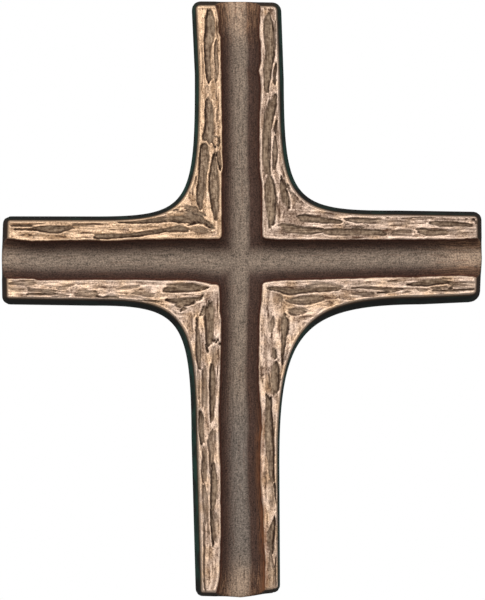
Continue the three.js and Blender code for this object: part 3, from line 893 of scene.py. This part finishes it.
def add_back(surface, loop):
    """Closes the back, with the nail hole in it."""
    turn = np.linspace(0, 2 * math.pi, HOLE_SIDES, endpoint=False)
    hole = surface.add(
        (2, HOLE_SIDES),
        x=HOLE_RADIUS * np.cos(turn),
        z=HOLE_HEIGHT + HOLE_RADIUS * np.sin(turn),
        depth=np.array((0, HOLE_DEPTH))[:, None],
        wall=1,
        tip=BACK_BROWN,
        lie=BACK_LIE,
    )
    surface.fill(np.concatenate((hole, hole[:, :1]), axis=1))
    rounds = (loop, hole[0])
    outlines = [
        [Vector((x, z, 0)) for x, z in zip(surface.get("x", part), surface.get("z", part))]
        for part in rounds
    ]
    flat = np.concatenate(rounds)
    surface.triangles.append(flat[np.array(tessellate_polygon(outlines))])
    middle = surface.add((1,), z=HOLE_HEIGHT, depth=HOLE_DEPTH, wall=1, tip=BACK_BROWN, lie=BACK_LIE)
    surface.triangles.append(
        np.stack((hole[1], np.roll(hole[1], -1), np.full(HOLE_SIDES, middle[0])), axis=1)
    )


def build_surface():
    """The whole cross as one closed surface."""
    surface = Surface()
    edges = {}
    for panel in PANELS:
        grid = PanelGrid(panel)
        inner = add_panel(surface, grid)[:, 0]
        edges[panel.name] = (inner[grid.corner_row :][::-1], inner[: grid.corner_row + 1])

    def channel(first, second, reach, upright, pale):
        return add_channel(surface, edges[first][upright], edges[second][upright], reach, upright, pale)

    up_row = channel("upper_left", "upper_right", REACH_UP, True, PALE_UP)
    down_row = channel("lower_left", "lower_right", REACH_DOWN, True, PALE_DOWN)
    left_row = channel("lower_left", "upper_left", REACH_LEFT, False, PALE_LEFT)
    right_row = channel("lower_right", "upper_right", REACH_RIGHT, False, PALE_RIGHT)
    add_crossing(surface, down_row, up_row, left_row, right_row)
    add_back(surface, add_walls(surface))
    return surface


def add_object(name, data):
    """Puts a new object in the scene."""
    thing = bpy.data.objects.new(name, data)
    bpy.context.collection.objects.link(thing)
    return thing


def make_object(surface):
    """Turns the surface into a Blender object."""
    whole = slice(None)
    x, depth, z = (surface.get(name, whole) for name in ("x", "depth", "z"))
    places = np.stack((x, -depth, z), axis=1)
    quads = np.concatenate(surface.quads)
    triangles = np.concatenate(surface.triangles)
    mesh = bpy.data.meshes.new("bronze_cross")
    mesh.from_pydata(places * METRES, [], quads.tolist() + triangles.tolist())
    smooth = np.ones(len(mesh.polygons), dtype=bool)
    smooth[len(quads) :] = False
    mesh.polygons.foreach_set("use_smooth", smooth)
    for name in surface.FINISH:
        layer = mesh.attributes.new(name, "FLOAT", "POINT")
        layer.data.foreach_set("value", surface.get(name, whole).astype(np.float32))
    turn_faces_out(mesh)
    mesh.validate()
    return add_object("bronze_cross", mesh)


def turn_faces_out(mesh):
    """Makes every face look out of the solid."""
    work = bmesh.new()
    work.from_mesh(mesh)
    bmesh.ops.recalc_face_normals(work, faces=work.faces)
    work.to_mesh(mesh)
    work.free()


# The finish


def colour(red, green, blue):
    """A colour from its 0 to 255 values."""
    parts = (value / 255 for value in (red, green, blue))
    return tuple(v / 12.92 if v <= 0.04045 else ((v + 0.055) / 1.055) ** 2.4 for v in parts) + (1.0,)


WARM_TAN = colour(186, 149, 114)
PINK_TAN = colour(177, 149, 129)
WARM_CREAM = colour(246, 208, 172)
PINK_CREAM = colour(240, 211, 189)
PIT = colour(96, 68, 50)
TROUGH_DARK = colour(100, 78, 60)
TROUGH_LIGHT = colour(170, 146, 122)
CRACK = colour(84, 56, 38)
# Dark brown at the foot of the marks' walls: patina plus painted shade.
FOOT_PATINA_AND_SHADE = colour(50, 30, 18)
FRINGE = colour(104, 76, 46)
# Painted shadow along the channel's edges, under the panels' rims.
CHANNEL_EDGE_SHADOW = colour(88, 46, 34)
CHANNEL_STREAK = colour(88, 58, 42)
FLOOR = colour(138, 121, 106)
TIP_FLOOR = colour(192, 162, 136)
GREY_FLOOR = colour(123, 111, 101)
RUST = colour(156, 102, 66)
# The channel's walls, also the paler ones at the tips: patina darkened as painted shade; the crossbar's are
# darker still, as painted shadow under the panels' edges.
CHANNEL_WALL_PATINA_SHADE = colour(79, 58, 49)
CROSSBAR_WALL_PATINA_SHADE = colour(68, 49, 41)
TIP_WALL = colour(92, 66, 50)
TIP_STREAK = colour(148, 112, 84)
WALL_GREEN = colour(34, 72, 60)
WALL_BLACK = colour(24, 24, 19)
END_WALL = colour(58, 43, 32)
STUDIO_FLOOR = colour(246, 244, 240)

# Sizes of the finish's patterns: across, or across and along
GRAIN = 0.42
MOTTLE = 6.0
STREAK = (0.45, 4.0)
CRACKS = (0.75, 7.0)
PITS = 0.62
BLOTCH = 1.1
BUMP_HEIGHT = 0.15


class Nodes:
    """Adds shader nodes to a material or world and joins them up."""

    def __init__(self, owner):
        owner.use_nodes = True
        self.nodes, self.links = owner.node_tree.nodes, owner.node_tree.links

    def put(self, socket, value):
        """Joins a node's output to a socket, or sets the socket to a constant."""
        if isinstance(value, bpy.types.NodeSocket):
            self.links.new(value, socket)
        else:
            socket.default_value = value

    def set(self, name, value):
        """Gives a material's shader one of its inputs."""
        self.put(self.nodes["Principled BSDF"].inputs[name], value)

    def add(self, kind, settings, output=0, **inputs):
        """Adds a node and returns an output. An input goes by its name, or by its number as in _0."""
        node = self.nodes.new(kind)
        for name, value in settings.items():
            setattr(node, name, value)
        for name, value in inputs.items():
            self.put(node.inputs[int(name[1:]) if name[1:].isdigit() else name], value)
        return node.outputs[output]

    def attribute(self, name):
        """One of the mesh's own values."""
        return self.add("ShaderNodeAttribute", {"attribute_name": name}, "Fac")

    def math(self, operation, first, second):
        return self.add("ShaderNodeMath", {"operation": operation}, _0=first, _1=second)

    def times(self, first, second):
        return self.math("MULTIPLY", first, second)

    def plus(self, first, second):
        return self.math("ADD", first, second)

    def step(self, low, high, value):
        """0 at low, 1 at high and smooth between."""
        settings = {"interpolation_type": "SMOOTHSTEP"}
        return self.add("ShaderNodeMapRange", settings, _0=value, _1=low, _2=high)

    def scale(self, low, high, value):
        """A value from 0 to 1 spread from low to high."""
        return self.add("ShaderNodeMapRange", {}, _0=value, _3=low, _4=high)

    def noise(self, place, size, detail=2.0, roughness=0.5):
        """Noise from 0 to 1 with features of a size in millimetres."""
        scale = 1 / (size * METRES)
        return self.add("ShaderNodeTexNoise", {}, _0=place, _2=scale, _3=detail, _4=roughness)

    def stretched(self, place, factors):
        """Places with each axis multiplied by a factor."""
        return self.add("ShaderNodeVectorMath", {"operation": "MULTIPLY"}, _0=place, _1=factors)

    def mix(self, share, first, second):
        """A mix of two colours."""
        return self.add("ShaderNodeMix", {"data_type": "RGBA"}, 2, _0=share, _6=first, _7=second)

    def shade(self, first, factor):
        """A colour made lighter or darker by a factor."""
        return self.add("ShaderNodeVectorMath", {"operation": "SCALE"}, _0=first, Scale=factor)


def streaks(nodes, place, size, length):
    """Noise drawn out along whichever arm a place is on, with its size across and its length along."""
    factor = size / length
    upright = nodes.noise(nodes.stretched(place, (1, 1, factor)), size)
    crossbar = nodes.noise(nodes.stretched(place, (factor, 1, 1)), size)
    lie = nodes.attribute("lie")
    return nodes.add("ShaderNodeMix", {"data_type": "FLOAT"}, _0=lie, _2=upright, _3=crossbar)


def panel_colour(nodes, tone, pits, blotch, crack, mottle):
    """The panels: cream on the crests, tan elsewhere, grey-brown in the marks and dark at their foot."""
    pink = nodes.step(0.3, 0.7, nodes.plus(mottle, nodes.scale(0.2, -0.25, nodes.attribute("warm"))))
    cream = nodes.mix(pink, WARM_CREAM, PINK_CREAM)
    tan = nodes.mix(pink, WARM_TAN, PINK_TAN)
    worn = nodes.mix(nodes.step(0.2, 0.95, tone), tan, cream)
    cracked = nodes.mix(nodes.times(crack, nodes.step(1.1, 0.4, tone)), worn, CRACK)
    pitted = nodes.mix(nodes.times(pits, nodes.step(1.0, 0.3, tone)), cracked, PIT)
    trough = nodes.mix(nodes.step(0.36, 0.64, blotch), TROUGH_DARK, TROUGH_LIGHT)
    marked = nodes.mix(nodes.attribute("full"), pitted, trough)
    # Painted shade, with patina, at the foot of the marks.
    return nodes.mix(nodes.attribute("foot"), marked, FOOT_PATINA_AND_SHADE)


def channel_colour(nodes, tip, crack, streak):
    """The channel: a pale floor between dark walls, all paler and more streaky near the tips."""
    floor = nodes.mix(nodes.attribute("grey"), FLOOR, GREY_FLOOR)
    floor = nodes.mix(tip, floor, TIP_FLOOR)
    # The walls: patina with painted shade, darker on the crossbar as painted shadow under the panels' edges.
    wall = nodes.mix(nodes.attribute("lie"), CHANNEL_WALL_PATINA_SHADE, CROSSBAR_WALL_PATINA_SHADE)
    wall = nodes.mix(tip, wall, nodes.mix(nodes.step(0.42, 0.62, streak), TIP_WALL, TIP_STREAK))
    # Painted shadow along both edges of the channel.
    wall = nodes.mix(nodes.times(nodes.attribute("fringe"), 0.8), wall, CHANNEL_EDGE_SHADOW)
    plain = nodes.mix(nodes.attribute("floor"), wall, floor)
    return nodes.mix(nodes.times(crack, nodes.scale(0.25, 0.75, tip)), plain, CHANNEL_STREAK)


def make_bronze():
    """Bronze with a brown patina, rubbed bright on the ridges and green-black on the side walls."""
    material = bpy.data.materials.new("bronze")
    nodes = Nodes(material)
    place = nodes.add("ShaderNodeTexCoord", {}, "Object")
    grain = nodes.noise(place, GRAIN, 3.0, 0.65)
    mottle = nodes.noise(place, MOTTLE)
    streak = streaks(nodes, place, *STREAK)
    wall = nodes.attribute("wall")
    channel = nodes.attribute("channel")

    spread = nodes.plus(nodes.scale(-0.55, 0.55, streak), nodes.scale(-0.25, 0.25, grain))
    tone = nodes.plus(nodes.attribute("tone"), spread)
    pits = nodes.times(nodes.step(0.5, 0.64, nodes.noise(place, PITS, 1.0)), 0.75)
    crack = nodes.step(0.56, 0.68, streaks(nodes, place, *CRACKS))
    blotch = nodes.plus(nodes.times(streak, 0.5), nodes.times(nodes.noise(place, BLOTCH), 0.5))
    front = panel_colour(nodes, tone, pits, blotch, crack, mottle)
    front = nodes.shade(front, nodes.scale(0.2, 1.8, grain))
    tip = nodes.times(nodes.attribute("tip"), nodes.scale(0.3, 1.3, mottle))
    speckle = nodes.plus(nodes.scale(-0.8, 2.8, grain), nodes.scale(-0.6, 0.6, streak))
    front = nodes.mix(channel, front, nodes.shade(channel_colour(nodes, tip, crack, streak), speckle))
    front = nodes.mix(nodes.times(nodes.attribute("rust"), nodes.step(0.3, 0.6, streak)), front, RUST)
    black = nodes.plus(nodes.step(0.35, 0.7, mottle), nodes.times(nodes.attribute("lie"), 0.7))
    side = nodes.mix(nodes.math("MINIMUM", black, 1.0), WALL_GREEN, WALL_BLACK)
    side = nodes.mix(nodes.attribute("tip"), side, END_WALL)
    side = nodes.mix(nodes.attribute("fringe"), side, FRINGE)
    side = nodes.shade(side, nodes.scale(0.6, 1.4, grain))
    nodes.set("Base Color", nodes.mix(wall, front, side))

    bare = nodes.math("SUBTRACT", 1.0, nodes.math("MAXIMUM", wall, channel))
    rubbed = nodes.times(nodes.step(0.5, 0.9, tone), bare)
    nodes.set("Metallic", nodes.scale(0.1, 0.6, rubbed))
    roughness = nodes.plus(nodes.scale(0.66, 0.46, rubbed), nodes.scale(-0.1, 0.1, grain))
    nodes.set("Roughness", roughness)
    nodes.set("Specular IOR Level", 0.2)
    bump = nodes.add("ShaderNodeBump", {}, Strength=0.5, Distance=BUMP_HEIGHT * METRES, Height=grain)
    nodes.set("Normal", bump)
    return material


# The studio


def add_camera():
    """A camera straight in front, far enough away that the front and back edges keep their places."""
    data = bpy.data.cameras.new("camera")
    data.sensor_width = SENSOR
    data.lens = SENSOR * (CAMERA_DISTANCE - THICKNESS / 2 * METRES) / VIEW_HEIGHT
    camera = add_object("camera", data)
    camera.location = (VIEW_X, -CAMERA_DISTANCE, VIEW_Z)
    camera.rotation_euler = (math.radians(90), math.radians(VIEW_ROLL), 0)
    bpy.context.scene.camera = camera


def add_light(name, place, size, watts):
    """A soft square light that looks at the cross. One behind the cross isn't mirrored in it."""
    data = bpy.data.lights.new(name, "AREA")
    data.size = size
    data.energy = watts
    light = add_object(name, data)
    light.location = place
    light.rotation_euler = (-Vector(place)).to_track_quat("-Z", "Y").to_euler()
    light.visible_glossy = place[1] < 0


def add_world():
    """White behind the cross, and a softer light from all sides."""
    world = bpy.data.worlds.new("studio")
    nodes = Nodes(world)
    white = (1, 1, 1, 1)
    seen = nodes.nodes["Background"]
    seen.inputs["Color"].default_value = white
    glow = nodes.add("ShaderNodeBackground", {}, Color=white, Strength=ROOM_LIGHT)
    ray = nodes.add("ShaderNodeLightPath", {}, "Is Camera Ray")
    mix = nodes.add("ShaderNodeMixShader", {}, _0=ray, _1=glow, _2=seen.outputs[0])
    nodes.put(nodes.nodes["World Output"].inputs["Surface"], mix)
    bpy.context.scene.world = world
    bpy.context.scene.view_settings.view_transform = "Standard"


def add_floor():
    """A plain pale floor under the cross."""
    turn = np.linspace(0, 2 * math.pi, FLOOR_SIDES, endpoint=False)
    points = [(FLOOR_RADIUS * math.cos(t), FLOOR_RADIUS * math.sin(t), FLOOR_HEIGHT) for t in turn]
    mesh = bpy.data.meshes.new("floor")
    mesh.from_pydata(points, [], [tuple(range(len(points)))])
    material = bpy.data.materials.new("floor")
    nodes = Nodes(material)
    nodes.set("Base Color", STUDIO_FLOOR)
    nodes.set("Roughness", 0.8)
    nodes.set("Emission Color", STUDIO_FLOOR)
    nodes.set("Emission Strength", FLOOR_GLOW)
    mesh.materials.append(material)
    floor = add_object("floor", mesh)
    floor.visible_diffuse = floor.visible_glossy = False


def main():
    piece = make_object(build_surface())
    piece.data.materials.append(make_bronze())
    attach(piece, "root")
    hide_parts("cross")
    add_floor()
    add_world()
    for name, light in LIGHTS.items():
        add_light(name, *light)
    add_camera()


main()
